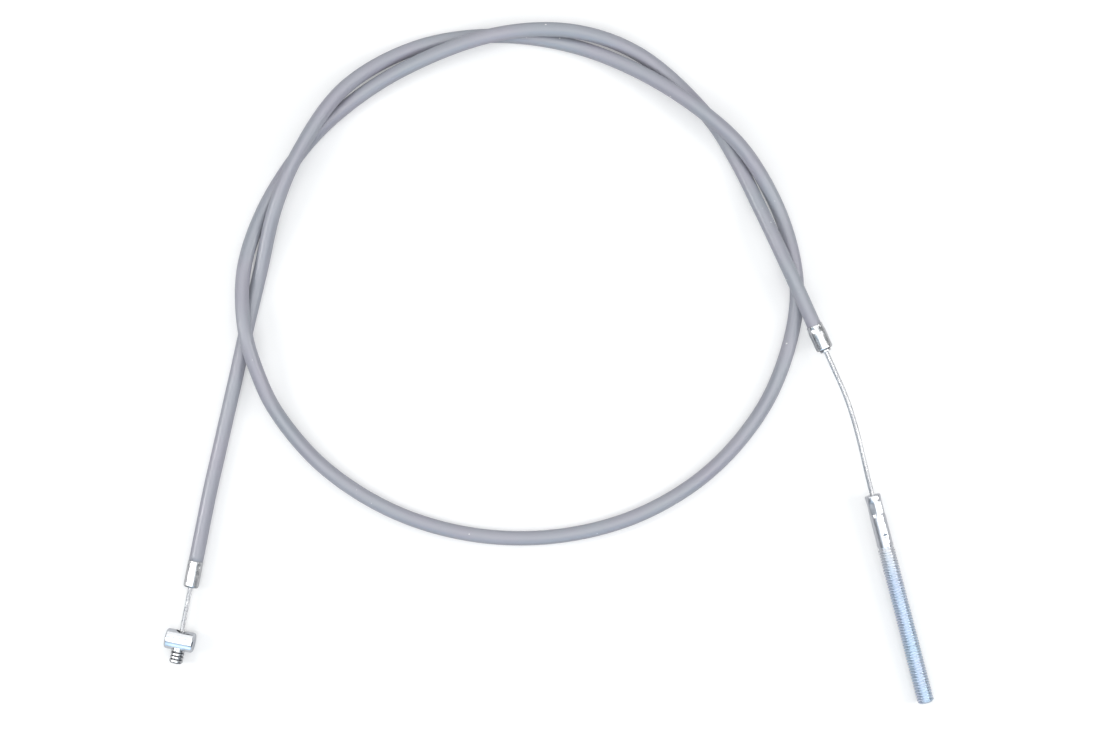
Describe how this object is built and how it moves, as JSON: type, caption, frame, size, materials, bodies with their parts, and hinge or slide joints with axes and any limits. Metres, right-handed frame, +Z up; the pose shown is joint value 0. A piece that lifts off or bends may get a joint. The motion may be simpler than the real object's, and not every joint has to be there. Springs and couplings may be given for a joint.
{
  "type": "brake cable",
  "caption": "Bowden brake cable in a grey plastic housing, with crimped end caps, a barrel nipple on the lever end and a long threaded rod on the brake end, laid in a loop",
  "frame": {"origin": "middle of the footprint, on the surface that the cable lies on", "axes": "+X along the longest extent, from the barrel nipple's side to the threaded rod's side; +Y from the two ends to the top of the loop; +Z up, the shortest extent"},
  "size_m": [0.269, 0.2378, 0.0107],
  "materials": {
    "grey_plastic": "satin extruded plastic, bluish grey",
    "spring_steel": "plain drawn steel, hidden in the housing",
    "liner_plastic": "natural white slippery plastic, hidden in the housing",
    "ferrule_plate": "bright plated thin steel with small crimp dents",
    "wire_steel": "stranded galvanised steel wire",
    "zinc_plate": "turned, bright zinc plate",
    "rod_plate": "rolled thread, bright bluish zinc plate"
  },
  "bodies": {
    "housing": {"outer_sheath": "grey_plastic", "wound_conduit": "spring_steel", "inner_liner": "liner_plastic", "inner_wire_housed": "wire_steel", "lever_ferrule": "ferrule_plate", "brake_ferrule": "ferrule_plate"},
    "lever_end": {"inner_wire_lever_run": "wire_steel", "barrel_nipple": "zinc_plate", "wire_stop": "zinc_plate"},
    "brake_end": {"inner_wire_brake_run": "wire_steel", "threaded_rod": "rod_plate"}
  },
  "joints": [
    {"name": "lever_pull", "type": "slide", "parent": "housing", "child": "lever_end", "axis": [-0.1924, -0.9811, 0.0192], "range_m": [-0.015, 0.012]},
    {"name": "brake_pull", "type": "slide", "parent": "housing", "child": "brake_end", "axis": [0.4146, -0.9095, -0.0321], "range_m": [-0.012, 0.015]}
  ],
  "couplings": [
    {"joint": "brake_pull", "follows": "lever_pull", "ratio": -1}
  ]
}
